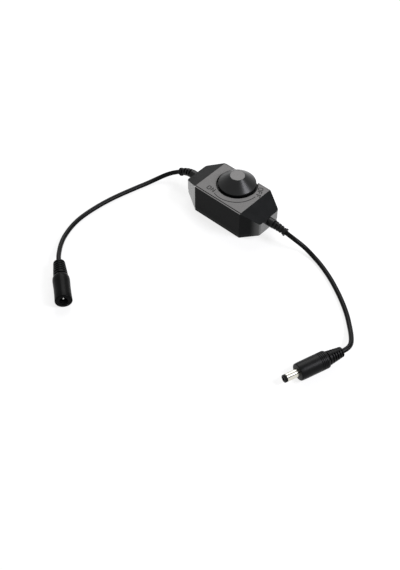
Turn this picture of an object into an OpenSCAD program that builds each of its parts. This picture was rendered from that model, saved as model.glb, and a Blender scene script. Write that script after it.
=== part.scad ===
// In-line rotary dimmer on a short low voltage cord.
// Millimetres. +X runs along the housing to the output cord, +Y to the side that the knob
// overhangs, +Z up. The origin is the middle of the flat underside, which lies on z = 0.

/* [Housing] */
// Length over the two end walls
body_l = 72; // [68:0.5:80]
// Length of the flat top between the sloping ends
straight_l = 44; // [42:0.5:48]
// Width across the long sides
body_w = 35; // [34:0.5:40]
// Width of each end wall
end_w = 21; // [19:0.5:24]
// Height over the flat top
body_h = 25; // [24.5:0.25:28]
// How far each sloping end falls from the flat top or rises from the flat underside
slope_drop = 6.7; // [6:0.1:7.2]
// Radius of the upright corners at the ends
end_round = 2; // [1:0.25:3]
// Wall thickness of both mouldings
wall = 2; // [1.6:0.1:2.2]
// Height of the raised pad on the top
pad_rise = 0.4; // [0.2:0.1:0.8]
// Width of the ledge left along each long side of the pad
pad_inset = 1.2; // [0.8:0.1:1.5]
// Height of the crescent that shows the way to turn
crescent_rise = 0.25; // [0.15:0.05:0.4]
// Thickness of the floor of the knob's well
well_floor_t = 1.6; // [1.2:0.1:2]

/* [Cover] */
// Height of the cover's rim
rim_h = 3.5; // [3:0.1:4]
// How far the rim stands back from the housing's sides
rim_step = 0.3; // [0.2:0.1:0.5]
// Height of the locating lip above the parting line
lip_h = 1.5; // [1:0.1:2]
// Thickness of the locating lip
lip_t = 1.2; // [0.8:0.1:1.4]
// Gap between the lip and the housing's inner wall
lip_gap = 0.15; // [0.1:0.05:0.3]
// Length of the label
label_l = 37.6; // [34:0.2:39]
// Width of the label
label_w = 29.8; // [27:0.2:30.6]
// Thickness of the label, which fills its recess flush
label_t = 0.3; // [0.2:0.05:0.5]
// Gap round the label in its recess
label_gap = 0.3; // [0.2:0.05:0.5]

/* [Cover screws] */
// Distance from the middle to a cover screw along the housing
screw_x = 29.5; // [28.5:0.25:30.5]
// Distance from the middle to a cover screw across the housing
screw_y = 8.7; // [8:0.1:9]
// Diameter of the recess round a screw head
recess_d = 5.3; // [5:0.1:6]
// Diameter of a screw head
head_d = 4.4; // [4:0.1:4.8]
// Thickness of a screw head
head_t = 1.5; // [1.2:0.1:1.8]
// Diameter of a screw's shank
shank_d = 2.2; // [2:0.1:2.5]
// Length of a screw under its head
screw_l = 8; // [7:0.25:9]
// Depth of a head's seat below the slope, measured on the screw's axis
seat_depth = 2.6; // [2.3:0.1:3]
// Thickness of the cover under a head
seat_t = 1.5; // [1.2:0.1:1.8]
// Diameter of the housing's screw boss
boss_d = 6.2; // [5.5:0.1:6.6]

/* [Knob] */
// Distance of the knob's axis from the middle towards the far long side
knob_y = 5.4; // [5:0.1:6]
// Radius of the knob's skirt
knob_r = 14.3; // [13.5:0.1:14.7]
// Radius of the flat on top of the knob
knob_top_r = 5.75; // [5.6:0.05:6.5]
// Height of the knob from its skirt to its top
knob_h = 10.4; // [10:0.1:12]
// Height of the knob's skirt
skirt_h = 3.4; // [2.8:0.1:3.8]
// Wall thickness of the knob
knob_wall = 1.8; // [1.4:0.1:2]
// Radius of the well in the housing
well_r = 15.8; // [15.2:0.1:16.2]
// Depth of the well
well_d = 2; // [1.6:0.1:2.4]
// Gap between the knob and the floor of its well
knob_lift = 0.6; // [0.4:0.05:1]

/* [Potentiometer] */
// Diameter of the shaft
shaft_d = 6; // [5.6:0.1:6.2]
// Thickness left across the flat of the shaft's D
shaft_flat = 4.5; // [4:0.1:5]
// Length of the D on the shaft
shaft_d_l = 5.6; // [5:0.1:6]
// Radial running clearance of the shaft in its bushing
shaft_clear = 0.05; // [0.02:0.01:0.08]
// Diameter of the threaded bushing
bushing_d = 7; // [6.9:0.1:7.4]
// Length of the bushing above the mounting plate
bushing_l = 4.6; // [4.4:0.1:4.8]
// Thickness of the mounting plate
plate_t = 1; // [0.8:0.1:1.4]
// Width across the flats of the nut
nut_af = 10; // [9.5:0.1:10.5]
// Thickness of the nut
nut_t = 2; // [1.8:0.1:2.2]
// Thickness of the washer
washer_t = 0.5; // [0.4:0.05:0.6]
// Outer diameter of the washer
washer_d = 11.5; // [11:0.1:12]
// Outer diameter of the stamped case
pot_d = 16; // [15.5:0.1:16.4]
// Height of the stamped case
pot_h = 6.5; // [6.2:0.1:7]
// Sheet thickness of the case
pot_sheet = 0.5; // [0.4:0.05:0.6]
// Thickness of the wafer that carries the resistive track
wafer_t = 1.2; // [1:0.1:1.4]
// Thickness of the rotor
rotor_t = 2.2; // [1.8:0.1:2.4]
// Play between the sliding faces inside the case
play = 0.1; // [0.05:0.01:0.12]

/* [Circuit board] */
// Gap from the board to the start of each sloping end
board_end_gap = 1; // [0.5:0.25:2]
// Gap from the board to the cover's lip along each side
board_side_gap = 0.65; // [0.4:0.05:1.2]
// Thickness of the board
board_t = 1.5; // [1.2:0.1:1.6]
// Height of the posts between the cover's floor and the board
post_h = 2.5; // [2.2:0.1:3]
// Diameter of a post
post_d = 4.4; // [4:0.1:5]
// Distance of the posts from the board's edges
post_inset = 2.6; // [2.5:0.1:3.2]

/* [Strain reliefs] */
// Length of a strain relief outside the end wall
relief_l = 16; // [14:0.25:17]
// Length of its plain collar
collar_l = 5; // [4:0.25:5.5]
// Diameter at the collar
relief_d = 6.9; // [6.6:0.1:7.2]
// Diameter at the cord's end
relief_end_d = 5.4; // [5:0.1:5.8]
// Diameter of the neck that the end wall holds
neck_d = 5.2; // [5:0.1:5.6]
// Width of the flange behind the end wall
flange_w = 7.2; // [7:0.1:7.6]
// Thickness of the flange behind the end wall
flange_t = 1.2; // [1:0.1:1.5]
// Number of slots along a strain relief
slot_n = 4; // [3:1:4]
// Width of one slot
slot_w = 1.2; // [1:0.1:1.3]
// How far the cord's weight bends the input relief down at each slot, in degrees
input_droop = 7; // [0:0.5:8]
// How far the input relief bends sideways at each slot, in degrees
input_yaw = 3; // [0:0.5:5]
// How far the output relief bends down at each slot, in degrees
output_droop = 3.5; // [0:0.5:8]
// How far the output relief bends sideways at each slot, in degrees
output_yaw = 1; // [0:0.5:5]
// Diameter of the cord
cord_d = 3.5; // [3.2:0.1:3.8]

/* [Connectors] */
// Outer diameter of both moulded connectors
grip_d = 12.6; // [12:0.1:12.6]
// Length of the plug's moulding with its relief
plug_l = 35; // [33:0.5:37]
// Length of the plug's ribbed relief
plug_relief_l = 11.5; // [10:0.25:12.5]
// Diameter of the plug's metal barrel
barrel_d = 5.5; // [5.5:0.1:5.6]
// Diameter of the socket inside the barrel
pin_hole_d = 2.3; // [2.1:0.1:2.6]
// Length of the barrel outside the moulding
barrel_l = 11; // [9.5:0.25:11.5]
// Length of the insulating ring at the barrel's tip
tip_l = 2; // [1.6:0.1:2.4]
// Length of the jack's moulding with its relief
jack_l = 37.5; // [35.5:0.5:39.5]
// Length of the jack's ribbed relief
jack_relief_l = 13.5; // [12:0.25:14.5]
// Diameter of the jack's mouth
mouth_d = 5.8; // [5.7:0.1:6]
// Depth of the jack's mouth
mouth_depth = 10; // [9.5:0.25:11]
// Diameter of the lead-in at the mouth, in front of the centre pin
lead_in_d = 6.3; // [6.2:0.1:6.6]
// Depth of the lead-in from the face of the insert
lead_in_l = 1.8; // [1.4:0.1:1.9]
// Diameter of the jack's centre pin
pin_d = 2.1; // [2:0.1:2.2]
// How far the centre pin stops short of the mouth
pin_recess = 2.5; // [2.2:0.1:2.9]
// Diameter of the insert that holds the jack's contacts
insert_d = 7.6; // [7.4:0.1:8]

/* [Hidden] */

// Arc steps on a small rounded corner, and facets of a plain round
corner_n = 5;
round_fn = 64;
// Overshoot of a cut past the face it opens
over = 1;
// Clearance of a screw in its hole and of one piece slid into another
fit = 0.05;

// Levels through the housing
shoulder_z = body_h - pad_rise;
well_z = body_h - well_d;
mount_z = well_z - well_floor_t;
parting_end_z = slope_drop + rim_h;
relief_z = (rim_h + body_h) / 2;
slope_l = (body_l - straight_l) / 2;
slope_angle = atan(slope_drop / slope_l);

// Height of the sloping underside at a distance x from the middle
function under_z(x) = max(0, (abs(x) - straight_l / 2) * slope_drop / slope_l);

// Height of the sloping ceiling inside the housing at a distance x from the middle
function ceiling_z(x) = body_h - under_z(x) - wall / cos(slope_angle);

// Cover screws
seat_z = under_z(screw_x) + seat_depth;
seat_top_z = seat_z + seat_t;
seat_d = recess_d + 3;
pilot_l = screw_l - seat_t + 0.6;

// Knob and potentiometer
knob_z = well_z + knob_lift;
knob_top_z = knob_z + knob_h;
nut_top_z = well_z + washer_t + nut_t;
bushing_top_z = mount_z + bushing_l;
plate_z = mount_z - plate_t;
wafer_z = plate_z - wafer_t;
rotor_top_z = wafer_z - 0.8;
rotor_z = rotor_top_z - rotor_t;
case_z = plate_z - pot_h;
shaft_z = case_z + pot_sheet + play;
socket_top_z = knob_top_z - 1.4;
rotor_r = pot_d / 2 - pot_sheet - 0.5;
track_r = rotor_r - 1.6;
track_w = 2;
track_t = 0.1;
lug_x = pot_d / 2 - 1.2;
lug_w = 1.6;
lug_h = 1.1;
terminal_gap = 3;
terminal_w = 1;
terminal_t = 0.4;
terminal_out = 4.2;
tongue_w = 9;
tongue_out = 2.6;

// Circuit board
board_l = straight_l - 2 * board_end_gap;
board_w = body_w - 2 * (wall + lip_gap + lip_t + board_side_gap);
board_z = wall + post_h;
board_top_z = board_z + board_t;
post_x = board_l / 2 - post_inset;
post_y = board_w / 2 - post_inset;
board_screw_d = 1.8;
board_screw_l = 3.6;
board_head_d = 3.4;
board_head_t = 1.1;
lead_d = 1.4;
pot_lead_d = 1;
pad_x = board_l / 2 - 2;
pad_y = 3;

// Parts on the board, placed from its middle, its edges and its screws
can_d = 8;
can_h = 11.5;
can_at = [2.7 + can_d / 2 - board_l / 2, -5.5];
diode_at = [-12.5, post_y - board_head_d];
chip_at = [-1, 6];
resistor_edge_y = 2.7 - board_w / 2;
resistor_at = [[-5.2, resistor_edge_y], [3, resistor_edge_y], [-1, -1.2]];

// Power transistor, laid with its tab on the board
transistor_at = [12.4, -1.5];
transistor_w = 10;
transistor_body_l = 9;
transistor_t = 4.4;
tab_t = 1.3;
tab_out = 6;
tab_hole_d = 3.6;
lead_pitch = 2.54;

// Strain reliefs
wall_x = body_l / 2;
slot_gap = 0.1;
flange_top = min(neck_d / 2, ceiling_z(wall_x - wall) - relief_z - slot_gap);
flange_foot = neck_d / 2 + 0.8;
relief_ring_t = 1;
rib_pitch = (relief_l - collar_l - relief_ring_t) / slot_n;
rib_tuck = 0.5;
web_t = 1.5;

// Routes of the two cords from their strain reliefs to their connectors
input_route = [[-51.3, -1.5, 10.8], [-54.8, -2.3, 8.9], [-58.9, -4.6, 6.8], [-62.5, -8.1, 4.7],
    [-65.3, -12.6, 3], [-67.4, -17.8, 2.1], [-69.1, -23.4, 1.8], [-70.8, -29.2, 1.8],
    [-72.8, -36.5, 1.8], [-75, -44.9, 1.8], [-77, -54.2, 1.8], [-78.5, -64.5, 1.8],
    [-79.3, -75.5, 1.8], [-79, -86, 1.8], [-77, -96, 1.8], [-73.2, -105.8, 2.1],
    [-68.2, -113.5, 3.2], [-63.6, -118.8, 4.6], [-60, -122.6, 5.7], [-56.7, -125.6, 6.3],
    [-54.1, -127.6, 6.3]];
output_route = [[51.9, 0.5, 12.5], [55.8, 0.8, 11.4], [60.2, 1.7, 9.5], [64.4, 3, 7],
    [68.6, 3.9, 4.6], [73, 3.9, 2.8], [77.8, 2.9, 2], [82.8, 1.4, 1.8], [90, -1.5, 1.8],
    [98, -5.3, 1.8], [106, -9.8, 1.8], [114, -14.8, 1.8], [121.5, -20.1, 1.8],
    [128, -25.3, 1.8], [133.6, -30.6, 2], [138.1, -35.3, 2.8], [142, -40, 4.1],
    [144.8, -44.1, 5.2], [146.2, -47.3, 5.8], [146.6, -50.8, 6.2], [146, -54.3, 6.3],
    [145.5, -55.8, 6.3]];

// Each connector starts where its route ends and keeps on along the last stretch
function end_turn(route) =
    let (v = route[len(route) - 1] - route[len(route) - 2])
    atan2(v.y, v.x);
jack_at = input_route[len(input_route) - 1];
jack_turn = end_turn(input_route);
plug_at = output_route[len(output_route) - 1];
plug_turn = end_turn(output_route);

// Connectors
plug_seat_l = 9;
tail_step = 0.2;
tail_d = barrel_d - 2 * tail_step;
core_d = tail_d - 0.6;
contact_d = pin_hole_d + 1;
jack_back_t = 2;
jack_seat_x = jack_l - mouth_depth - jack_back_t;
insert_l = mouth_depth + jack_back_t - 0.4;
pin_l = mouth_depth + jack_back_t - pin_recess;
spring_l = 4.8;
spring_w = 1.4;
spring_t = 0.3;

// Outline helpers
function unit(v) = v / norm(v);

// Corner b between a and c, as an arc of radius r in n steps
function corner_arc(a, b, c, r, n) =
    r <= 0 ? [b] :
    let (
        u = unit(a - b),
        v = unit(c - b),
        half = acos(u * v) / 2,
        centre = b + unit(u + v) * r / sin(half),
        p = b + u * r / tan(half) - centre,
        q = b + v * r / tan(half) - centre,
        start = atan2(p.y, p.x),
        sweep = atan2(q.y, q.x) - start,
        turn = sweep > 180 ? sweep - 360 : sweep < -180 ? sweep + 360 : sweep
    )
    [for (i = [0 : n]) centre + r * [cos(start + turn * i / n), sin(start + turn * i / n)]];

// Closed outline with each corner rounded by its own radius
function rounded(pts, radii) =
    let (m = len(pts))
    [for (i = [0 : m - 1])
        each corner_arc(pts[(i + m - 1) % m], pts[i], pts[(i + 1) % m], radii[i], corner_n)];

// Long octagon: half length l, half straight length s, half width w, half end width e,
// with every side moved in by t
function octagon(l, s, w, e, t) =
    let (
        n = unit([w - e, l - s]),
        reach = n * [s, w] - t,
        x = (reach - n.y * (w - t)) / n.x,
        y = (reach - n.x * (l - t)) / n.y
    )
    [[x, w - t], [l - t, y], [l - t, -y], [x, t - w], [-x, t - w], [t - l, -y], [t - l, y], [-x, w - t]];

// One ring of an eight sided tube; across is a direction that the tube never runs along
function ring(at, along, across, r) =
    let (side = unit(cross(along, across)), up = cross(side, along))
    [for (k = [0 : 7]) at + r * (cos(22.5 + 45 * k) * side + sin(22.5 + 45 * k) * up)];
function heading(route, i) =
    unit(route[min(i + 1, len(route) - 1)] - route[max(i - 1, 0)]);

// Tube of diameter d along a route, which ends square to the direction finish
module tube(route, d, across, finish) {
    m = len(route);
    pts = [for (i = [0 : m - 1])
        each ring(route[i], i < m - 1 ? heading(route, i) : finish, across, d / 2)];
    sides = [for (i = [0 : m - 2], k = [0 : 7])
        [8 * i + k, 8 * i + (k + 1) % 8, 8 * i + 8 + (k + 1) % 8, 8 * i + 8 + k]];
    first = [for (k = [7 : -1 : 0]) k];
    last = [for (k = [0 : 7]) 8 * (m - 1) + k];
    polyhedron(pts, [first, each sides, last], convexity = 6);
}

// Plan of the housing, moved in by t
module plan(t) {
    r = max(end_round - t, 0.4);
    polygon(rounded(octagon(body_l / 2, straight_l / 2, body_w / 2, end_w / 2, t),
        [0, r, r, 0, 0, r, r, 0]));
}

// The housing's closed form, moved in by side on plan and by skin above and below
module body_form(side, skin) {
    intersection() {
        linear_extrude(body_h) plan(side);
        translate([0, body_w, body_h / 2])
            rotate([90, 0, 0])
                linear_extrude(2 * body_w)
                    polygon(octagon(body_l / 2 + skin, straight_l / 2, body_h / 2,
                        body_h / 2 - slope_drop - skin * slope_drop / slope_l, skin));
    }
}

// Everything below a line that follows the underside at a height of lift
module below(lift) {
    x = body_l / 2;
    translate([0, body_w, 0])
        rotate([90, 0, 0])
            linear_extrude(2 * body_w)
                polygon([[-x - over, -over], [x + over, -over],
                    [x + over, slope_drop + lift + over * slope_drop / slope_l],
                    [straight_l / 2, lift], [-straight_l / 2, lift],
                    [-x - over, slope_drop + lift + over * slope_drop / slope_l]]);
}

// Both cover screws' axes, on opposite corners
module at_screws() {
    for (s = [-1, 1]) translate([s * screw_x, s * screw_y, 0]) children();
}

// Both ends, with local +X pointing out along the strain relief's axis
module at_ends() {
    for (turn = [0, 180]) rotate([0, 0, turn]) translate([wall_x, 0, relief_z]) children();
}

// A round bar along local +X
module bar(d, l) {
    rotate([0, 90, 0]) cylinder(d = d, h = l, $fn = round_fn);
}

module at_knob() {
    translate([0, knob_y, 0]) children();
}

// Crescent from thin by the far right to thick at the near left, widening with the light
module crescent() {
    outer_r = well_r + 3;
    shift = 1.1;
    first = -108;
    last = -4;
    sweep = [for (i = [0 : 12]) first + (last - first) * i / 12];
    difference() {
        intersection() {
            translate([0, -shift]) circle(r = outer_r, $fn = 96);
            polygon([[0, 0], for (a = sweep) 2 * well_r * [cos(a), sin(a)]]);
        }
        circle(r = well_r, $fn = 96);
    }
}

module top_housing() {
    color([0.07, 0.07, 0.07])
    difference() {
        union() {
            difference() {
                body_form(0, 0);
                body_form(wall, wall);
                // Ledges along both long sides of the pad
                for (s = [-1, 1])
                    translate([0, s * (body_w - pad_inset), shoulder_z + over])
                        cube([2 * body_l, body_w, 2 * over], center = true);
            }
            intersection() {
                body_form(0, 0);
                union() {
                    at_knob() translate([0, 0, mount_z])
                        cylinder(r = well_r + wall, h = body_h, $fn = 96);
                    at_screws() translate([0, 0, seat_top_z])
                        cylinder(d = boss_d, h = body_h, $fn = round_fn);
                }
                translate([0, 0, shoulder_z / 2])
                    cube([2 * body_l, 2 * body_w, shoulder_z], center = true);
            }
            at_knob() translate([0, 0, shoulder_z])
                linear_extrude(pad_rise + crescent_rise) crescent();
        }
        // What the cover takes, all but the ends of the screw bosses
        difference() {
            below(rim_h);
            intersection() {
                body_form(wall + lip_gap, wall);
                at_screws() translate([0, 0, seat_top_z])
                    cylinder(d = boss_d, h = body_h, $fn = round_fn);
            }
        }
        // The knob's well, which breaks out through the far side
        at_knob() translate([0, 0, well_z]) cylinder(r = well_r, h = body_h, $fn = 96);
        at_knob() translate([0, 0, mount_z - over])
            cylinder(d = bushing_d + 4 * fit, h = body_h, $fn = round_fn);
        // Blind slot for the locating lug
        at_knob() translate([-lug_x, 0, mount_z])
            cube([lug_w + 0.3, lug_w + 0.3, 2 * (lug_h + 0.15)], center = true);
        // Slots that take the strain reliefs' necks
        at_ends() {
            translate([-wall - over, 0, 0]) bar(neck_d + 2 * slot_gap, wall + 2 * over);
            translate([-wall - over, -neck_d / 2 - slot_gap, -body_h])
                cube([wall + 2 * over, neck_d + 2 * slot_gap, body_h]);
        }
        at_screws() translate([0, 0, seat_top_z - over])
            cylinder(d = shank_d + 2 * fit, h = pilot_l + over, $fn = round_fn);
    }
}

// Posts under the board's corners
module at_posts() {
    for (sx = [-1, 1], sy = [-1, 1]) translate([sx * post_x, sy * post_y, 0]) children();
}

// The two posts that take a screw
module at_board_screws() {
    for (s = [-1, 1]) translate([s * post_x, -s * post_y, 0]) children();
}

// Room for the cover: inside the housing's wall above the parting line, and into the rim below
module inside_housing(skin) {
    body_form(wall + lip_gap, skin);
    intersection() {
        body_form(wall / 2, skin);
        below(rim_h);
    }
}

module bottom_cover() {
    color([0.06, 0.06, 0.06])
    difference() {
        union() {
            intersection() {
                difference() {
                    body_form(rim_step, 0);
                    body_form(wall, wall);
                }
                below(rim_h);
            }
            // Locating lip, left out at the strain reliefs and round the screw bosses
            intersection() {
                difference() {
                    inside_housing(wall / 2);
                    body_form(wall + lip_gap + lip_t, wall / 2);
                    at_ends() cube([2 * (wall + lip_t + over), flange_w + 1, 2 * body_h],
                        center = true);
                    at_screws() translate([0, 0, seat_top_z])
                        cylinder(d = boss_d + 0.6, h = body_h, $fn = round_fn);
                }
                below(rim_h + lip_h);
            }
            // Seats under the screw heads
            intersection() {
                inside_housing(0);
                at_screws() cylinder(d = seat_d, h = seat_top_z, $fn = round_fn);
            }
            at_posts() translate([0, 0, wall / 2])
                cylinder(d = post_d, h = board_z - wall / 2, $fn = round_fn);
            // Tongues that close the slots below the strain reliefs
            at_ends() translate([slot_gap - wall, -neck_d / 2, slope_drop + wall / 2 - relief_z])
                cube([wall - slot_gap - rim_step, neck_d, relief_z - slope_drop - wall / 2]);
        }
        at_ends() translate([-wall - over, 0, 0]) bar(neck_d + 2 * fit, wall + 2 * over);
        // Recess for the label
        translate([0, 0, -over])
            linear_extrude(label_t + over)
                square([label_l + 2 * label_gap, label_w + 2 * label_gap], center = true);
        at_screws() {
            translate([0, 0, -over]) cylinder(d = recess_d, h = seat_z + over, $fn = round_fn);
            cylinder(d = shank_d + 2 * fit, h = body_h, $fn = round_fn);
        }
        at_board_screws() translate([0, 0, board_z + board_t - board_screw_l])
            cylinder(d = board_screw_d + 2 * fit, h = body_h, $fn = round_fn);
    }
}

module label() {
    corner_r = 0.8;
    color([0.93, 0.94, 0.95])
    linear_extrude(label_t)
        polygon(rounded([[label_l, label_w] / 2, [label_l, -label_w] / 2,
            [-label_l, -label_w] / 2, [-label_l, label_w] / 2], [for (i = [0 : 3]) corner_r]));
}

// Pan head screw with its head down and a cross in it
module screw(head, thick, shank, long) {
    cross_w = head / 6;
    cross_l = head * 0.6;
    difference() {
        union() {
            rotate_extrude($fn = round_fn)
                polygon([[0, 0], [head / 2 - thick / 2, 0], [head / 2 - 0.15, thick / 3],
                    [head / 2, thick * 0.6], [head / 2, thick], [0, thick]]);
            cylinder(d = shank, h = thick + long - shank / 2, $fn = round_fn);
            translate([0, 0, thick + long - shank / 2])
                cylinder(d1 = shank, d2 = shank / 3, h = shank / 2, $fn = round_fn);
        }
        for (turn = [0, 90]) rotate([0, 0, turn])
            cube([cross_l, cross_w, thick * 1.1], center = true);
    }
}

module cover_screws() {
    color([0.35, 0.35, 0.36])
    at_screws() translate([0, 0, seat_z - head_t]) rotate([0, 0, 25])
        screw(head_d, head_t, shank_d, screw_l);
}

// Round profile of the knob, moved in by t
function knob_outline(t) =
    rounded([[0, knob_h - t], [knob_top_r - t * 0.4, knob_h - t], [knob_r - t, skirt_h - t * 0.4],
        [knob_r - t, -t], [0, -t]], [0, 0.5, 0.9, t > 0 ? 0 : 0.4, 0]);

// D shaped section, flat towards +X
module d_section(d, flat) {
    intersection() {
        circle(d = d, $fn = round_fn);
        translate([flat - 1.5 * d, -d]) square([d, 2 * d]);
    }
}

module knob() {
    hub_d = shaft_d + 4.6;
    color([0.05, 0.05, 0.05])
    at_knob() translate([0, 0, knob_z])
    difference() {
        union() {
            difference() {
                rotate_extrude($fn = 128) polygon(knob_outline(0));
                rotate_extrude($fn = 96) polygon(knob_outline(knob_wall));
                translate([0, 0, -knob_wall - over])
                    cylinder(r = knob_r - knob_wall, h = knob_wall + over, $fn = 96);
            }
            // Hub that grips the shaft
            translate([0, 0, bushing_top_z + 0.4 - knob_z])
                cylinder(d = hub_d, h = knob_top_z - 1 - bushing_top_z - 0.4, $fn = round_fn);
            // Webs from the hub to the shell
            intersection() {
                rotate_extrude($fn = 96) polygon(knob_outline(knob_wall / 2));
                for (turn = [45 : 90 : 315]) rotate([0, 0, turn])
                    translate([shaft_d / 2 + 1, -0.6, nut_top_z + 1.2 - knob_z])
                        cube([knob_r, 1.2, knob_h]);
            }
        }
        translate([0, 0, -over])
            cylinder(d = shaft_d + 2 * fit, h = socket_top_z - shaft_d_l - knob_z + over,
                $fn = round_fn);
        linear_extrude(socket_top_z - knob_z) d_section(shaft_d + 2 * fit, shaft_flat + fit);
    }
}

module pot_shaft() {
    color([0.75, 0.75, 0.76])
    at_knob() {
        translate([0, 0, shaft_z])
            cylinder(d = shaft_d, h = socket_top_z - shaft_d_l - shaft_z, $fn = round_fn);
        translate([0, 0, socket_top_z - shaft_d_l])
            linear_extrude(shaft_d_l) d_section(shaft_d, shaft_flat);
    }
}

// Flat ring
module washer_ring(outer_r, inner_r, h) {
    difference() {
        cylinder(r = outer_r, h = h, $fn = round_fn);
        translate([0, 0, -over]) cylinder(r = inner_r, h = h + 2 * over, $fn = round_fn);
    }
}

module pot_rotor() {
    color([0.85, 0.83, 0.75])
    at_knob() translate([0, 0, rotor_z]) washer_ring(rotor_r, shaft_d / 2, rotor_t);
}

module pot_wiper() {
    sheet_t = 0.2;
    reach = rotor_top_z + sheet_t;
    color([0.8, 0.65, 0.3])
    at_knob() {
        translate([0, 0, rotor_top_z]) washer_ring(track_r, shaft_d / 2 + 0.5, sheet_t);
        // Two fingers that rise to the track
        for (s = [-1, 1]) rotate([0, 0, 90 + 12 * s])
            translate([track_r - track_w / 2, -0.4, reach - 0.05])
                cube([track_w - 0.4, 0.8, wafer_z - track_t - play - reach + 0.05]);
    }
}

module pot_bushing() {
    color([0.78, 0.78, 0.76])
    at_knob()
    difference() {
        union() {
            translate([0, 0, plate_z]) cylinder(d = pot_d, h = plate_t, $fn = round_fn);
            translate([0, 0, plate_z]) cylinder(d = bushing_d, h = bushing_top_z - plate_z - 0.4,
                $fn = round_fn);
            translate([0, 0, bushing_top_z - 0.4])
                cylinder(d1 = bushing_d, d2 = bushing_d - 0.8, h = 0.4, $fn = round_fn);
            translate([-lug_x, 0, mount_z - 0.1 + lug_h / 2])
                cube([lug_w, lug_w, lug_h + 0.1], center = true);
        }
        cylinder(r = shaft_d / 2 + shaft_clear, h = 2 * body_h, $fn = round_fn);
    }
}

module pot_washer() {
    color([0.72, 0.72, 0.7])
    at_knob() translate([0, 0, well_z]) washer_ring(washer_d / 2, bushing_d / 2 + fit, washer_t);
}

module pot_nut() {
    chamfer = 0.4;
    corner_d = nut_af / cos(30);
    color([0.8, 0.8, 0.78])
    at_knob() translate([0, 0, well_z + washer_t])
    difference() {
        intersection() {
            cylinder(d = corner_d, h = nut_t, $fn = 6);
            union() {
                cylinder(d = corner_d, h = nut_t - chamfer, $fn = round_fn);
                translate([0, 0, nut_t - chamfer])
                    cylinder(d1 = corner_d, d2 = corner_d - 3 * chamfer, h = chamfer,
                        $fn = round_fn);
            }
        }
        translate([0, 0, -over]) cylinder(r = bushing_d / 2 + fit, h = nut_t + 2 * over,
            $fn = round_fn);
    }
}

module pot_wafer() {
    color([0.5, 0.3, 0.15])
    at_knob() translate([0, 0, wafer_z])
    difference() {
        union() {
            cylinder(r = pot_d / 2 - pot_sheet - fit, h = wafer_t, $fn = round_fn);
            translate([-tongue_w / 2, -pot_d / 2 - tongue_out, 0])
                cube([tongue_w, pot_d / 2, wafer_t]);
        }
        translate([0, 0, -over]) cylinder(r = shaft_d / 2 + 0.3, h = wafer_t + 2 * over,
            $fn = round_fn);
    }
}

module pot_track() {
    gap = 30;
    color([0.1, 0.1, 0.1])
    at_knob() translate([0, 0, wafer_z - track_t])
    difference() {
        washer_ring(track_r + track_w / 2, track_r - track_w / 2, track_t);
        translate([0, 0, -over]) linear_extrude(track_t + 2 * over)
            polygon([[0, 0], pot_d * [-sin(gap), -cos(gap)], pot_d * [sin(gap), -cos(gap)]]);
    }
}

module pot_terminals() {
    inner = pot_d / 2 + 0.2;
    color([0.8, 0.72, 0.5])
    at_knob() for (i = [-1 : 1])
        translate([i * terminal_gap - terminal_w / 2, -inner - terminal_out, wafer_z - terminal_t])
            cube([terminal_w, terminal_out, terminal_t]);
}

module pot_case() {
    color([0.7, 0.7, 0.68])
    at_knob()
    difference() {
        translate([0, 0, case_z]) cylinder(d = pot_d, h = pot_h, $fn = round_fn);
        translate([0, 0, case_z + pot_sheet])
            cylinder(d = pot_d - 2 * pot_sheet, h = pot_h, $fn = round_fn);
        // Window for the wafer's tongue and the terminals
        translate([-tongue_w / 2 - 0.2, -pot_d, wafer_z - terminal_t - 0.2])
            cube([tongue_w + 0.4, 0.7 * pot_d, pot_h]);
    }
}

module pot_leads() {
    tail = knob_y - pot_d / 2 - terminal_out + 0.7;
    top = wafer_z - terminal_t;
    color([0.75, 0.75, 0.2])
    for (i = [-1 : 1]) {
        x = i * terminal_gap;
        tube([[x, tail, top], [x, tail, top - 1.5], [x, tail - 0.8, top - 4],
            [x, tail - 1.8, top - 7], [x, tail - 2, board_top_z + 1.5],
            [x, tail - 2, board_top_z]], pot_lead_d, [1, 0, 0], [0, 0, -1]);
    }
}

module circuit_board() {
    color([0.1, 0.35, 0.18])
    difference() {
        translate([0, 0, board_z]) linear_extrude(board_t)
            polygon(rounded([[board_l, board_w] / 2, [board_l, -board_w] / 2,
                [-board_l, -board_w] / 2, [-board_l, board_w] / 2], [for (i = [0 : 3]) 1]));
        at_board_screws() cylinder(d = board_screw_d + 0.4, h = body_h, $fn = round_fn);
    }
}

module board_screws() {
    color([0.6, 0.6, 0.6])
    at_board_screws() translate([0, 0, board_top_z + board_head_t]) rotate([180, 0, 0])
        screw(board_head_d, board_head_t, board_screw_d, board_screw_l - 0.2);
}

module power_transistor() {
    color([0.08, 0.08, 0.08])
    translate([transistor_at.x - transistor_w / 2, transistor_at.y - transistor_body_l / 2,
        board_top_z + tab_t])
    difference() {
        cube([transistor_w, transistor_body_l, transistor_t - tab_t]);
        translate([-over, transistor_body_l + 0.4, transistor_t - tab_t]) rotate([30, 0, 0])
            cube([transistor_w + 2 * over, over, 3 * over]);
    }
}

module transistor_tab() {
    leg_w = 0.8;
    leg_t = 0.5;
    leg_out = 3;
    leg_rise = tab_t + 0.9;
    color([0.75, 0.75, 0.76])
    translate([transistor_at.x, transistor_at.y, board_top_z]) {
        difference() {
            translate([-transistor_w / 2, -transistor_body_l / 2, 0])
                cube([transistor_w, transistor_body_l + tab_out, tab_t]);
            translate([0, (transistor_body_l + tab_out) / 2, -over])
                cylinder(d = tab_hole_d, h = tab_t + 2 * over, $fn = round_fn);
        }
        // Three legs, each bent down into the board
        for (i = [-1 : 1])
            translate([lead_pitch * i - leg_w / 2, -transistor_body_l / 2 - leg_out, 0]) {
                translate([0, 0, leg_rise]) cube([leg_w, leg_out, leg_t]);
                cube([leg_w, leg_t, leg_rise + leg_t]);
            }
    }
}

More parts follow.
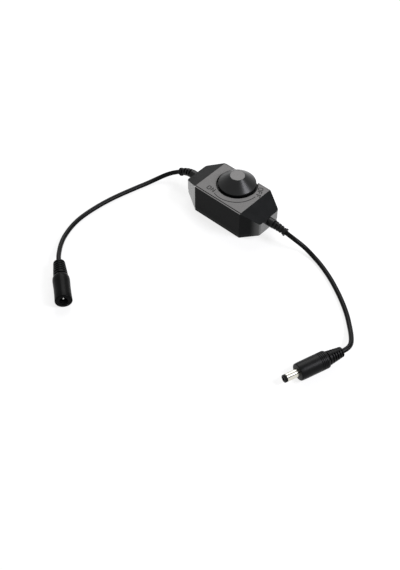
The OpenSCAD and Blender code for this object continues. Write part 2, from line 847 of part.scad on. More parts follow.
module timer_chip() {
    chip_l = 9.4;
    chip_w = 6.4;
    chip_t = 3;
    stand = 0.5;
    leg_w = 0.5;
    leg_t = 0.7;
    color([0.09, 0.09, 0.09])
    translate([chip_at.x, chip_at.y, board_top_z]) {
        difference() {
            translate([-chip_l / 2, -chip_w / 2, stand]) cube([chip_l, chip_w, chip_t]);
            translate([-chip_l / 2, 0, stand + chip_t]) cylinder(r = 0.8, h = 0.6, center = true,
                $fn = 32);
        }
        for (i = [0 : 3], s = [-1, 1])
            translate([(i - 1.5) * lead_pitch - leg_w / 2, s * (chip_w + leg_t) / 2 - leg_t / 2, 0])
                cube([leg_w, leg_t, stand + chip_t / 2]);
    }
}

module smoothing_capacitor() {
    color([0.12, 0.14, 0.3])
    translate([can_at.x, can_at.y, board_top_z])
        rotate_extrude($fn = round_fn)
            polygon([[0, 0], [can_d / 2 - 0.3, 0], [can_d / 2, 0.3], [can_d / 2, 1.4],
                [can_d / 2 - 0.4, 1.8], [can_d / 2, 2.2], [can_d / 2, can_h - 0.4],
                [can_d / 2 - 0.4, can_h], [0, can_h]]);
}

// Axial part lying on the board, with bent wires
module axial(l, d, span) {
    wire = 0.6;
    rise = d / 2;
    translate([-l / 2, 0, rise]) bar(d, l);
    for (s = [-1, 1]) {
        translate([s < 0 ? -span / 2 : l / 2, 0, rise]) bar(wire, (span - l) / 2);
        translate([s * span / 2 - s * wire / 2, 0, 0])
            cylinder(d = wire, h = rise + wire / 2, $fn = 24);
    }
}

module resistors() {
    color([0.75, 0.65, 0.45])
    for (at = resistor_at) translate([at.x, at.y, board_top_z]) axial(3.4, 1.7, 6.4);
}

module diode() {
    color([0.1, 0.1, 0.1])
    translate([diode_at.x, diode_at.y, board_top_z]) axial(5.2, 2.7, 9);
}

// Two wires from a strain relief down to the board's pads
module leads(s) {
    start = wall_x - wall - flange_t;
    run = start - pad_x;
    drop = relief_z - board_top_z;
    for (k = [-1, 1])
        tube([[s * start, k * 0.9, relief_z], [s * (start - 0.15 * run), k * 0.9, relief_z],
            [s * (start - 0.45 * run), k * 1.4, relief_z - 0.15 * drop],
            [s * (start - 0.75 * run), k * 2.2, relief_z - 0.38 * drop],
            [s * (pad_x + 0.8), k * 2.8, relief_z - 0.62 * drop],
            [s * pad_x, k * pad_y, board_top_z + 1.2], [s * pad_x, k * pad_y, board_top_z]],
            lead_d, [0, 1, 0], [0, 0, -1]);
}

module input_leads() {
    color([0.6, 0.1, 0.1]) leads(-1);
}

module output_leads() {
    color([0.6, 0.1, 0.1]) leads(1);
}

// Diameter of the ribbed stretch after i ribs
function rib_d(i) = relief_d - 0.4 + (relief_end_d - relief_d + 0.4) * i / slot_n;

// Rib i and all that follow it, each turned a little against the one before. A slot in front of
// every rib leaves the core and a flat web, which lies level and upright by turns.
module ribs(i, droop, yaw) {
    rotate([0, droop, yaw]) {
        translate([slot_w, 0, 0]) rotate([0, 90, 0])
            cylinder(d1 = rib_d(i), d2 = rib_d(i + 1), h = rib_pitch - slot_w, $fn = round_fn);
        translate([-rib_tuck, 0, 0]) bar(cord_d + 0.6, rib_pitch);
        intersection() {
            translate([-rib_tuck, 0, 0]) bar(rib_d(i) - 0.3, slot_w + 2 * rib_tuck);
            rotate([i % 2 == 0 ? 0 : 90, 0, 0])
                cube([4 * rib_pitch, 2 * relief_d, web_t], center = true);
        }
        translate([rib_pitch, 0, 0]) {
            if (i < slot_n - 1) ribs(i + 1, droop, yaw);
            else bar(relief_end_d + 1, relief_ring_t);
        }
    }
}

// Strain relief along local +X, with x = 0 on the end wall's outer face
module strain_relief(droop, yaw) {
    translate([-wall - flange_t, -flange_w / 2, -flange_foot])
        cube([flange_t, flange_w, flange_foot + flange_top]);
    translate([-wall, 0, 0]) bar(neck_d, wall);
    bar(relief_d, collar_l);
    translate([collar_l, 0, 0]) ribs(0, droop, yaw);
}

module input_strain_relief() {
    color([0.1, 0.1, 0.1]) translate([-wall_x, 0, relief_z]) rotate([0, 0, 180])
        strain_relief(input_droop, input_yaw);
}

module output_strain_relief() {
    color([0.1, 0.1, 0.1]) translate([wall_x, 0, relief_z])
        strain_relief(output_droop, output_yaw);
}

module input_cord() {
    color([0.08, 0.08, 0.08])
    tube(input_route, cord_d, [0, 0, 1], [cos(jack_turn), sin(jack_turn), 0]);
}

module output_cord() {
    color([0.08, 0.08, 0.08])
    tube(output_route, cord_d, [0, 0, 1], [cos(plug_turn), sin(plug_turn), 0]);
}

// A revolve about local +X of an outline given as [distance along, radius]
module turned(outline) {
    rotate([0, 90, 0]) rotate([0, 0, 90]) rotate_extrude($fn = 96)
        polygon([for (p = outline) [p.y, p.x]]);
}

module at_plug() {
    translate(plug_at) rotate([0, 0, plug_turn]) children();
}

module at_jack() {
    translate(jack_at) rotate([0, 0, jack_turn]) children();
}

module plug_housing() {
    rib_n = 5;
    rib_pitch = plug_relief_l / rib_n;
    r0 = 3.7;
    r1 = 4.6;
    r = grip_d / 2;
    color([0.09, 0.09, 0.1])
    at_plug()
    difference() {
        turned(rounded([[0, 0], [0, r0], [plug_relief_l, r1], [plug_relief_l, r - 0.9],
            [plug_relief_l + 2.4, r], [plug_l - 5, r], [plug_l, r - 0.15], [plug_l, 0]],
            [0, 0.8, 0, 0, 2, 2, 0.6, 0]));
        // Slots of the relief, staggered on its two sides
        difference() {
            for (i = [0 : rib_n - 1], s = [-1, 1])
                translate([rib_pitch * (i + 0.5 + 0.25 * s), s * (r1 + 0.7), 0])
                    cube([rib_pitch * 0.42, 2 * r1, 3 * r], center = true);
            bar(cord_d + 1, plug_relief_l);
        }
        // Seat of the barrel
        translate([plug_l - plug_seat_l, 0, 0]) bar(tail_d, plug_seat_l + over);
    }
}

module plug_barrel() {
    color([0.85, 0.85, 0.84])
    at_plug() translate([plug_l - plug_seat_l, 0, 0])
    difference() {
        union() {
            bar(tail_d, plug_seat_l);
            translate([plug_seat_l, 0, 0]) bar(barrel_d, barrel_l - tip_l);
        }
        translate([-over, 0, 0]) bar(core_d, plug_seat_l + barrel_l + 2 * over);
    }
}

module plug_tip_ring() {
    tip_x = plug_seat_l + barrel_l - tip_l;
    color([0.05, 0.05, 0.05])
    at_plug() translate([plug_l - plug_seat_l, 0, 0])
    difference() {
        union() {
            bar(core_d, tip_x + tip_l / 4);
            translate([tip_x, 0, 0])
                turned(rounded([[0, 0], [0, barrel_d / 2], [tip_l, barrel_d / 2], [tip_l, 0]],
                    [0, 0, 0.4, 0]));
        }
        translate([-over, 0, 0]) bar(contact_d, tip_x + tip_l / 2 + over);
        translate([-over, 0, 0]) bar(pin_hole_d + 0.3, tip_x + tip_l + 2 * over);
    }
}

module plug_centre_contact() {
    color([0.85, 0.7, 0.35])
    at_plug() translate([plug_l - plug_seat_l, 0, 0])
    difference() {
        bar(contact_d, plug_seat_l + barrel_l - tip_l / 2);
        translate([2, 0, 0]) bar(pin_hole_d, plug_seat_l + barrel_l);
    }
}

module jack_housing() {
    rib_n = 5;
    rib_pitch = 2.1;
    r = grip_d / 2;
    color([0.08, 0.08, 0.09])
    at_jack()
    difference() {
        turned(rounded([[0, 0], [0, 4.5], [jack_relief_l, 5], [jack_relief_l, 5.2],
            [jack_relief_l + 3, r], [jack_relief_l + 7, r], [jack_relief_l + 10, r - 0.3],
            [jack_l, r], [jack_l, 0]], [0, 1, 0, 0, 3, 3, 3, 0.7, 0]));
        // Grooves round the relief
        for (i = [0 : rib_n - 1])
            translate([2.2 + rib_pitch * i, 0, 0])
                difference() {
                    bar(2 * grip_d, 0.8);
                    translate([-over, 0, 0]) bar(8, 0.8 + 2 * over);
                }
        translate([jack_seat_x, 0, 0]) bar(insert_d, mouth_depth + jack_back_t + over);
    }
}

module jack_insert() {
    color([0.04, 0.04, 0.04])
    at_jack() translate([jack_seat_x, 0, 0])
    difference() {
        bar(insert_d, insert_l);
        translate([jack_back_t, 0, 0]) bar(mouth_d, mouth_depth + over);
        translate([insert_l - lead_in_l, 0, 0]) bar(lead_in_d, lead_in_l + over);
        translate([-over, 0, 0]) bar(pin_d, jack_back_t + 2 * over);
        // Slot behind the spring contact
        translate([jack_back_t, -spring_w / 2 - 0.1, mouth_d / 2 - 0.2])
            cube([spring_l + 0.2, spring_w + 0.2, spring_t + 0.3]);
    }
}

module jack_centre_pin() {
    color([0.9, 0.9, 0.88])
    at_jack() translate([jack_seat_x, 0, 0])
        turned([[0, 0], [0, pin_d / 2], [pin_l - pin_d / 4, pin_d / 2], [pin_l, pin_d / 4],
            [pin_l, 0]]);
}

module jack_spring() {
    color([0.85, 0.7, 0.35])
    // Leaf that presses on the sleeve of a plug
    at_jack() translate([jack_seat_x + jack_back_t + 0.1, -spring_w / 2, mouth_d / 2])
        cube([spring_l, spring_w, spring_t]);
}

top_housing();
bottom_cover();
label();
cover_screws();
knob();
pot_shaft();
pot_rotor();
pot_wiper();
pot_bushing();
pot_nut();
pot_washer();
pot_wafer();
pot_track();
pot_terminals();
pot_case();
pot_leads();
circuit_board();
board_screws();
power_transistor();
transistor_tab();
timer_chip();
smoothing_capacitor();
resistors();
diode();
input_leads();
output_leads();
input_strain_relief();
output_strain_relief();
input_cord();
output_cord();
jack_housing();
jack_insert();
jack_centre_pin();
jack_spring();
plug_housing();
plug_barrel();
plug_tip_ring();
plug_centre_contact();
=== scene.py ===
import math

import bmesh
import bpy
import numpy as np
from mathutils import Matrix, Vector


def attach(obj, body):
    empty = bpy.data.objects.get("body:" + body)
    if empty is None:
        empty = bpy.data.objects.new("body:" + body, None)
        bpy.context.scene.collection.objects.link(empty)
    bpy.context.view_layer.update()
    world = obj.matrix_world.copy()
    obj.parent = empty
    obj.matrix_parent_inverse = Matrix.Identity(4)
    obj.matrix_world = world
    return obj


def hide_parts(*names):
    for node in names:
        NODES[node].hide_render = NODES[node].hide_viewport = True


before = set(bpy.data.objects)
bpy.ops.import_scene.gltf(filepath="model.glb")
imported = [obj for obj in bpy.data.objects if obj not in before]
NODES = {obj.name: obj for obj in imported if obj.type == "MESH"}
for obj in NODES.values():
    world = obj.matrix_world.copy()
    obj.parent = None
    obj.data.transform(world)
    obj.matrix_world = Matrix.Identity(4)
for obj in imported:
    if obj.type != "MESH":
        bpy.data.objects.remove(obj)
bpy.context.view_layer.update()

MM = 0.001

# Sizes that the looks share with the solids, in millimetres
HOUSING_HALF_L = 36.0
FACET_PLANE = 28.5       # |y| + |x| / 2 on the upright corner facets
SLOPE_PLANE = 36.0       # z + |x| / 2 on the end slopes
PAD_HALF_L, PAD_STEP_Y, PAD_TOP = 22.0, 16.4, 25.0
KNOB_Y, KNOB_TOP, KNOB_DISC_R = 5.4, 34.0, 5.75
WELL_R, WELL_FLOOR = 15.8, 23.0
CRESCENT_Y, CRESCENT_R = 4.3, 18.8
CRESCENT_START, CRESCENT_END = math.radians(18), math.radians(4)
CORD_R = 1.75
CORD_HOLE_R = 1.6
PLUG_L, JACK_L = 35.0, 37.5
LINE_HALF_W = 0.22

# Routes of the two cords' middles, from the strain relief to the connector
INPUT_ROUTE = [
    (-51.3, -1.5, 10.8), (-54.8, -2.3, 8.9), (-58.9, -4.6, 6.8), (-62.5, -8.1, 4.7), (-65.3, -12.6, 3),
    (-67.4, -17.8, 2.1), (-69.1, -23.4, 1.8), (-70.8, -29.2, 1.8), (-72.8, -36.5, 1.8), (-75, -44.9, 1.8),
    (-77, -54.2, 1.8), (-78.5, -64.5, 1.8), (-79.3, -75.5, 1.8), (-79, -86, 1.8), (-77, -96, 1.8),
    (-73.2, -105.8, 2.1), (-68.2, -113.5, 3.2), (-63.6, -118.8, 4.6), (-60, -122.6, 5.7),
    (-56.7, -125.6, 6.3), (-54.1, -127.6, 6.3),
]
OUTPUT_ROUTE = [
    (51.9, 0.5, 12.5), (55.8, 0.8, 11.4), (60.2, 1.7, 9.5), (64.4, 3, 7), (68.6, 3.9, 4.6), (73, 3.9, 2.8),
    (77.8, 2.9, 2), (82.8, 1.4, 1.8), (90, -1.5, 1.8), (98, -5.3, 1.8), (106, -9.8, 1.8),
    (114, -14.8, 1.8), (121.5, -20.1, 1.8), (128, -25.3, 1.8), (133.6, -30.6, 2), (138.1, -35.3, 2.8),
    (142, -40, 4.1), (144.8, -44.1, 5.2), (146.2, -47.3, 5.8), (146.6, -50.8, 6.2), (146, -54.3, 6.3),
    (145.5, -55.8, 6.3),
]


def unit(vector):
    """The vector divided by its length."""
    return np.asarray(vector, float) / np.linalg.norm(vector)


# Each connector's heading, and the middle of its front face
PLUG_ALONG, JACK_ALONG = unit([-0.5, -1.5, 0.0]), unit([2.6, -2.0, 0.0])
PLUG_AT = OUTPUT_ROUTE[-1] + PLUG_L * PLUG_ALONG
JACK_AT = INPUT_ROUTE[-1] + JACK_L * JACK_ALONG
PLUG_HEADING = 71.6      # of the plug's axis in plan, in degrees


# Camera: the photograph's viewing angle, 48.7 degrees above the table
camera_data = bpy.data.cameras.new("camera")
camera = bpy.data.objects.new("camera", camera_data)
bpy.context.scene.collection.objects.link(camera)
camera_data.lens = 63.16
camera_data.sensor_width = 36.0
camera_data.clip_start, camera_data.clip_end = 0.01, 20.0
camera.location = (0.348672, -0.420747, 0.537009)
camera.rotation_mode = "QUATERNION"
camera.rotation_quaternion = Vector((-0.4431, 0.4889, -0.7514)).to_track_quat("-Z", "Y")
bpy.context.scene.camera = camera


# Shader expressions
class Field:
    """One shader socket. An expression of fields and numbers adds its Math nodes."""

    def __init__(self, recipe, socket):
        self.recipe = recipe
        self.socket = socket

    def math(self, operation, *values):
        return self.recipe.node("Math", {"operation": operation}, values)

    def __add__(self, other):
        return self.math("ADD", self, other)

    def __radd__(self, other):
        return self.math("ADD", other, self)

    def __sub__(self, other):
        return self.math("SUBTRACT", self, other)

    def __rsub__(self, other):
        return self.math("SUBTRACT", other, self)

    def __mul__(self, other):
        return self.math("MULTIPLY", self, other)

    def __rmul__(self, other):
        return self.math("MULTIPLY", other, self)

    def __pow__(self, exponent):
        return self.math("POWER", self, exponent)

    def __abs__(self):
        return self.math("ABSOLUTE", self)

    def __lt__(self, limit):
        return self.math("LESS_THAN", self, limit)

    def __gt__(self, limit):
        return self.math("GREATER_THAN", self, limit)

    def most(self, other):
        return self.math("MAXIMUM", self, other)

    def eased(self, low, high):
        """0 up to low, 1 from high on, and a smooth step between them."""
        return self.recipe.node("MapRange", {"interpolation_type": "SMOOTHSTEP"},
                                {"Value": self, "From Min": low, "From Max": high})


class Recipe:
    """The nodes of one material, or of the world."""

    def __init__(self, name, kind=bpy.data.materials):
        self.owner = kind.new(name)
        self.owner.use_nodes = True
        self.tree = self.owner.node_tree
        self.tree.nodes.clear()

    def node(self, kind, settings=None, sockets=(), out=0):
        """Adds a node: first its settings, then its sockets' values or links."""
        made = self.tree.nodes.new("ShaderNode" + kind)
        for key, value in (settings or {}).items():
            setattr(made, key, value)
        for key, value in sockets.items() if isinstance(sockets, dict) else enumerate(sockets):
            if isinstance(value, Field):
                self.tree.links.new(value.socket, made.inputs[key])
            else:
                made.inputs[key].default_value = value
        return Field(self, made.outputs[out] if made.outputs else None)

    def spot(self):
        """Object coordinates as a vector, in metres."""
        return self.node("TexCoord", out="Object")

    def place(self):
        """The three object coordinates in millimetres."""
        spot = self.spot()
        return [self.node("SeparateXYZ", None, [spot], out=i) * (1 / MM) for i in range(3)]

    def noise(self, size, detail=2.0, drawn=None):
        """Noise from 0 to 1 in blobs about size millimetres across. Where drawn is a heading in
        degrees, the blobs are lines along it, 20 times as long as wide."""
        spot = self.spot()
        if drawn is not None:
            spot = self.node("Mapping", {"vector_type": "TEXTURE"}, {
                "Vector": spot, "Rotation": (0.0, 0.0, math.radians(drawn)), "Scale": (20.0, 1.0, 1.0)})
        return self.node("TexNoise", None, {"Vector": spot, "Scale": 1 / (size * MM), "Detail": detail})

    def pits(self, size):
        """0 in the middle of each small cell, rising to its rim."""
        return self.node("TexVoronoi", None, {"Vector": self.spot(), "Scale": 1 / (size * MM)})

    def mix(self, share, first, second):
        """Colour that goes from first to second as the share goes from 0 to 1."""
        return self.node("Mix", {"data_type": "RGBA"}, {0: share, 6: first, 7: second}, out=2)

    def relief(self, height, depth):
        """Normal of a height field whose swing from 0 to 1 is depth millimetres."""
        return self.node("Bump", None, {"Height": height, "Distance": depth * MM})

    def backdrop_seen(self):
        """1 where the camera, a mirror or a glass looks at this surface, and 0 for other rays."""
        direct, mirrored, through = [self.node("LightPath", out="Is %s Ray" % kind)
                                     for kind in ("Camera", "Glossy", "Transmission")]
        return direct.most(mirrored).most(through)

    def finish(self, shader, kind="OutputMaterial"):
        """Ends the tree in its output, and gives the material or world."""
        self.node(kind, None, {"Surface": shader})
        return self.owner

    def surface(self, **sockets):
        """Material of one Principled shader with the named sockets."""
        return self.finish(self.node(
            "BsdfPrincipled", None, {key.replace("_", " "): value for key, value in sockets.items()}))


def grey(level, cold=0.0):
    """Colour of one grey level, a little bluer where cold is above 0."""
    return (level * (1 - cold), level, level * (1 + cold), 1.0)


def polish_and_painted_sheen(x, y, z):
    """1 on the upright end faces and corner facets, under the slopes, which are polished and painted a
    lighter colour as sheen. It fades in by position along the facets of the output end, a painted fade of
    that sheen. The planes are moved in a little, so that the cover's smaller outline counts too."""
    on_facet = (abs(x) > PAD_HALF_L - 0.1) * ((abs(y) + abs(x) * 0.5) > FACET_PLANE - 0.75)
    # Painted sheen: on the output end the facets' coat and lighter colour fade in by position
    facet_polish_and_painted_fade = on_facet * (x < 0).most(x.eased(29, HOUSING_HALF_L) * 0.6)
    return (abs(x) > HOUSING_HALF_L - 0.7).most(facet_polish_and_painted_fade) * (z + abs(x) * 0.5 < SLOPE_PLANE - 0.15)


def housing_finish():
    """Black ABS: satin slopes and sides, a dark well painted a little lighter than the body for the light
    on its floor, a finely sparked pad whose lighter grey is partly its own and partly painted sheen, with
    painted shade lines at its step and round the crescent, and polished ends and corner facets that mirror
    the room at a flat angle, with painted sheen in a lighter colour."""
    r = Recipe("black_moulding")
    x, y, z = r.place()
    broad, fine, grain, pits = r.noise(9.0, 3.0), r.noise(0.7, 3.0), r.noise(0.25, 2.0), r.pits(0.28)
    away = ((x ** 2) + (y - KNOB_Y) ** 2) ** 0.5
    pad = (z > PAD_TOP - 0.55) * (abs(x) < PAD_HALF_L + 0.15) * (away > WELL_R + 0.05)
    well = (away < WELL_R - 0.1) * (z > WELL_FLOOR - 0.1)
    ends = polish_and_painted_sheen(x, y, z)
    # Painted shade: dark lines at the pad's step, and round the crescent's outline from its radial end to
    # where it thins out
    rim = (x ** 2 + (y - CRESCENT_Y) ** 2) ** 0.5 - CRESCENT_R
    begun = x * math.cos(CRESCENT_START) - (y - KNOB_Y) * math.sin(CRESCENT_START)
    ended = x * math.sin(CRESCENT_END) + (y - KNOB_Y) * math.cos(CRESCENT_END)
    step = abs(abs(y) - PAD_STEP_Y) < 0.27
    arc_shade = (abs(rim) < LINE_HALF_W) * (begun > 0) * (ended < 0)
    start = (abs(begun) < LINE_HALF_W) * (rim < 0) * (ended < 0)
    base = r.mix(broad.eased(0.3, 0.7), grey(0.0045, 0.08), grey(0.0075, 0.06))
    # Painted light: the well a little lighter than the body, for the light its floor catches
    base = r.mix(well, base, grey(0.022))
    # Painted sheen: the polished ends and facets get a lighter grey
    base = r.mix(ends, base, grey(0.03))
    # The pad's lighter grey is partly its sparked texture's own and partly painted sheen of the light it
    # catches
    base = r.mix(pad, base, r.mix(fine.eased(0.3, 0.7), grey(0.155, -0.03), grey(0.19, -0.02)))
    # Painted shade of the step and the crescent's outline, in a dark grey
    base = r.mix(pad * step.most(arc_shade).most(start), base, grey(0.03))
    rough = 0.42 + broad * 0.06 + grain * 0.05
    height = fine * 0.35 + grain * 0.35 + pits * (0.3 + pad * 0.7)
    return r.surface(Base_Color=base, Roughness=rough, Normal=r.relief(height * (1 - ends), 0.022),
                     Specular_IOR_Level=0.07, Coat_Weight=ends, Coat_Roughness=0.05, Coat_IOR=1.9)


def cover_finish():
    """Black ABS of the cover, a little glossier than the housing, with the same painted sheen on its
    polished ends.
    """
    r = Recipe("cover_moulding")
    x, y, z = r.place()
    broad, fine = r.noise(11.0, 3.0), r.noise(0.45, 3.0)
    ends = polish_and_painted_sheen(x, y, z) * (z > 0.4)
    base = r.mix(broad.eased(0.3, 0.7), grey(0.0045, 0.06), grey(0.0075, 0.04))
    # Painted sheen: the polished ends and facets get a lighter grey, faded in by position on the output end
    base = r.mix(ends, base, grey(0.03))
    return r.surface(Base_Color=base, Roughness=0.33 + broad * 0.1 + fine * 0.06,
                     Normal=r.relief(fine * (1 - ends), 0.012), Specular_IOR_Level=0.1,
                     Coat_Weight=ends, Coat_Roughness=0.05, Coat_IOR=1.9)


def knob_finish():
    """Satin black cone, polished skirt and a flush matte disc on the top, whose lighter grey is partly its
    fine texture's own and partly painted sheen, ringed by a painted shade line.
    """
    r = Recipe("knob_moulding")
    x, y, z = r.place()
    away = (x ** 2 + (y - KNOB_Y) ** 2) ** 0.5
    disc = (away < KNOB_DISC_R - 0.15) * (z > KNOB_TOP - 0.2)
    disc_edge_shade = abs(away - KNOB_DISC_R + 0.15) < 0.12
    broad, fine, pits = r.noise(7.0, 3.0), r.noise(0.35, 3.0), r.pits(0.3)
    base = r.mix(broad.eased(0.3, 0.7), grey(0.003, 0.08), grey(0.005, 0.06))
    # The disc's lighter grey is partly its fine texture's own and partly painted sheen of the light on its
    # flat top
    base = r.mix(disc, base, r.mix(fine.eased(0.3, 0.7), grey(0.155, -0.03), grey(0.195, -0.02)))
    # Painted shade: a dark ring round the disc's edge
    base = r.mix(disc_edge_shade * (z > KNOB_TOP - 0.25), base, grey(0.006))
    rough = 0.27 + disc * 0.22 + broad * 0.06 + fine * 0.03
    return r.surface(Base_Color=base, Roughness=rough, Specular_IOR_Level=0.24,
                     Normal=r.relief(fine * 0.3 + pits * disc, 0.02))


def rubber_finish(name, level, rough, gloss=0.1):
    """Satin PVC with a faint mottle, fine grain and small flow lines."""
    r = Recipe(name)
    broad, fine, grain = r.noise(6.0, 3.0), r.noise(0.9, 3.0), r.noise(0.22, 2.0)
    base = r.mix(broad.eased(0.3, 0.7), grey(level * 0.8, 0.07), grey(level * 1.2, 0.04))
    return r.surface(Base_Color=base, Roughness=rough + broad * 0.1 + grain * 0.08,
                     Normal=r.relief(fine * 0.6 + grain * 0.4, 0.018), Specular_IOR_Level=gloss)


def metal_finish(name, colour, rough):
    """Bare or plated metal with a fine grain and a slight tarnish."""
    r = Recipe(name)
    grain, broad = r.noise(0.25, 2.0), r.noise(0.9, 1.0)
    tarnish = tuple(part * 0.8 for part in colour[:3]) + (1.0,)
    return r.surface(Base_Color=r.mix(broad.eased(0.46, 0.58), colour, tarnish), Metallic=1.0,
                     Roughness=rough + grain * 0.08 + broad * 0.05, Normal=r.relief(grain, 0.003))


def barrel_finish():
    """Bright nickel, drawn along the plug, with two dark lines along its upper side: one on its crest and
    one 1.67 mm beside it."""
    r = Recipe("bright_nickel")
    x, y, z = r.place()
    across = (x - PLUG_AT[0]) * PLUG_ALONG[1] - (y - PLUG_AT[1]) * PLUG_ALONG[0]
    lines = (abs(across) < 0.32).most(abs(across + 1.67) < 0.32) * (z > PLUG_AT[2])
    fine = r.noise(0.25, 2.0, PLUG_HEADING)
    base = r.mix(fine, (0.72, 0.71, 0.64, 1.0), (0.6, 0.58, 0.49, 1.0))
    return r.surface(Base_Color=r.mix(lines, base, grey(0.06)), Metallic=1.0, Roughness=0.2 + fine * 0.1,
                     Normal=r.relief(fine, 0.003))


def moulded_finish(name, first, second, rough, size=1.5, level=0.5):
    """Moulded or lacquered surface whose colour wanders between two tones."""
    r = Recipe(name)
    broad, fine = r.noise(size, 3.0), r.noise(0.2, 2.0)
    return r.surface(Base_Color=r.mix(broad.eased(0.3, 0.7), first, second),
                     Roughness=rough + fine * 0.1, Normal=r.relief(fine, 0.008),
                     Specular_IOR_Level=level)


def label_finish():
    """White vinyl printed with plain polarity marks and two arrows."""
    r = Recipe("white_label")
    x, y, z = r.place()

    def away(cx, cy):
        return ((x - cx) ** 2 + (y - cy) ** 2) ** 0.5

    def bar(cx, cy, half_x, half_y):
        return (abs(x - cx) < half_x) * (abs(y - cy) < half_y)

    # Each row has a ring with a stroke at both ends, a dot between them, and lines that join the three.
    # One of its rings gets a second stroke, which makes a plus.
    marks = []
    ring_y, dot_y, ring_r, stroke = (-8.6, 2.4), -3.1, 1.35, 0.16
    for cx, plus_y in ((-15.1, ring_y[0]), (13.7, ring_y[1])):
        marks += [abs(away(cx, cy) - ring_r) < 0.17 for cy in ring_y]
        marks += [bar(cx, cy, 0.75, stroke) for cy in ring_y]
        marks += [bar(cx, plus_y, stroke, 0.75), away(cx, dot_y) < 0.95]
        marks += [bar(cx, -5.6, stroke, 1.65), bar(cx, -0.2, stroke, 1.25)]
    # Two arrows: a shaft, and a head that narrows along x
    arrow_y, shaft_end = 10.4, 1.4
    for cx in (-10.5, 8.5):
        marks += [bar(cx - 1.0, arrow_y, 2.6, 0.45)]
        marks += [(abs(y - arrow_y) + (x - cx - shaft_end) * 0.62 < 1.3) * (x > cx + shaft_end)]
    ink = marks[0]
    for mark in marks[1:]:
        ink = ink.most(mark)
    fibre = r.noise(0.3, 2.0)
    paper = r.mix(r.noise(8.0, 2.0), (0.8, 0.82, 0.85, 1.0), (0.86, 0.87, 0.88, 1.0))
    return r.surface(Base_Color=r.mix(ink, paper, grey(0.03)), Roughness=0.38 + fibre * 0.12,
                     Normal=r.relief(fibre, 0.006))


# Meshes
def mesh_object(name, points, faces, material, body="housing"):
    """Object at the origin from arrays of points, in millimetres, and faces. Rides on a body."""
    data = bpy.data.meshes.new(name)
    data.from_pydata((np.asarray(points, float) * MM).tolist(), [], [list(face) for face in faces])
    data.materials.append(material)
    data.polygons.foreach_set("use_smooth", np.ones(len(data.polygons), bool))
    data.set_sharp_from_angle(angle=math.radians(35))
    return placed(name, data, body)


def placed(name, data, body):
    """Object of a mesh at the origin, which rides on a body."""
    made = bpy.data.objects.new(name, data)
    bpy.context.scene.collection.objects.link(made)
    if body:
        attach(made, body)
    return made


def dressed(node, name, material, edge=0.0, segments=2, body="housing", sharp=30.0):
    """Merged copy of a solid's mesh whose edges over the sharp angle are rounded by a bevel."""
    mesh = bmesh.new()
    mesh.from_mesh(NODES[node].data)
    bmesh.ops.remove_doubles(mesh, verts=mesh.verts, dist=2e-6)
    bmesh.ops.dissolve_limit(mesh, angle_limit=math.radians(0.6), verts=mesh.verts, edges=mesh.edges,
                             delimit={"NORMAL"})
    data = bpy.data.meshes.new(name)
    mesh.to_mesh(data)
    mesh.free()
    data.materials.clear()
    data.materials.append(material)
    data.polygons.foreach_set("use_smooth", np.ones(len(data.polygons), bool))
    data.set_sharp_from_angle(angle=math.radians(sharp))
    made = placed(name, data, body)
    if edge:
        bevel = made.modifiers.new("rounded_edges", "BEVEL")
        bevel.width = edge * MM
        bevel.segments = segments
        bevel.limit_method = "ANGLE"
        bevel.angle_limit = math.radians(sharp)
        bevel.harden_normals = True
        bevel.use_clamp_overlap = True
    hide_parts(node)
    return made


def grid_faces(rows, columns, first=0, loop=False):
    """Quads between neighbouring rings of points. Each ring closes on itself, and in a loop the last
    ring joins the first."""
    i, k = np.meshgrid(np.arange(rows if loop else rows - 1), np.arange(columns), indexing="ij")
    ahead, beside = (i + 1) % rows, (k + 1) % columns
    corners = [i * columns + k, i * columns + beside, ahead * columns + beside, ahead * columns + k]
    return (first + np.stack(corners, axis=-1)).reshape(-1, 4).tolist()


def smooth_path(route, step):
    """Points step millimetres apart on the curve through the route, each stretch a cubic whose
    tangents are half the difference of the neighbouring points."""
    p = np.asarray(route, float)
    before = np.vstack([2 * p[0] - p[1], p[:-1]])
    after = np.vstack([p[1:], 2 * p[-1] - p[-2]])
    tangent = (after - before) / 2
    t = np.linspace(0, 1, 17)[:-1][None, :, None]
    a, b, u, v = p[:-1, None], p[1:, None], tangent[:-1, None], tangent[1:, None]
    dense = ((2 * t**3 - 3 * t**2 + 1) * a + (t**3 - 2 * t**2 + t) * u
             + (3 * t**2 - 2 * t**3) * b + (t**3 - t**2) * v).reshape(-1, 3)
    dense = np.vstack([dense, p[-1]])
    run = np.concatenate([[0], np.cumsum(np.linalg.norm(np.diff(dense, axis=0), axis=1))])
    stops = np.linspace(0, run[-1], int(run[-1] / step) + 1)
    return np.stack([np.interp(stops, run, dense[:, i]) for i in range(3)], axis=1)


def swept(path, radius, sides=24):
    """Closed tube. At each path point a circle of the radius stands across the path, starting at its
    level side, and a flat cap closes each end."""
    ahead = np.gradient(path, axis=0)
    ahead /= np.linalg.norm(ahead, axis=1)[:, None]
    level = np.cross(ahead, [0, 0, 1.0])
    level /= np.linalg.norm(level, axis=1)[:, None]
    up = np.cross(level, ahead)
    turn = np.arange(sides) * 2 * np.pi / sides
    rings = path[:, None] + radius * (np.cos(turn)[None, :, None] * level[:, None]
                                      + np.sin(turn)[None, :, None] * up[:, None])
    m = len(path)
    caps = [list(range(sides)), list(range(m * sides - 1, (m - 1) * sides - 1, -1))]
    return rings.reshape(-1, 3), [face[::-1] for face in grid_faces(m, sides)] + caps


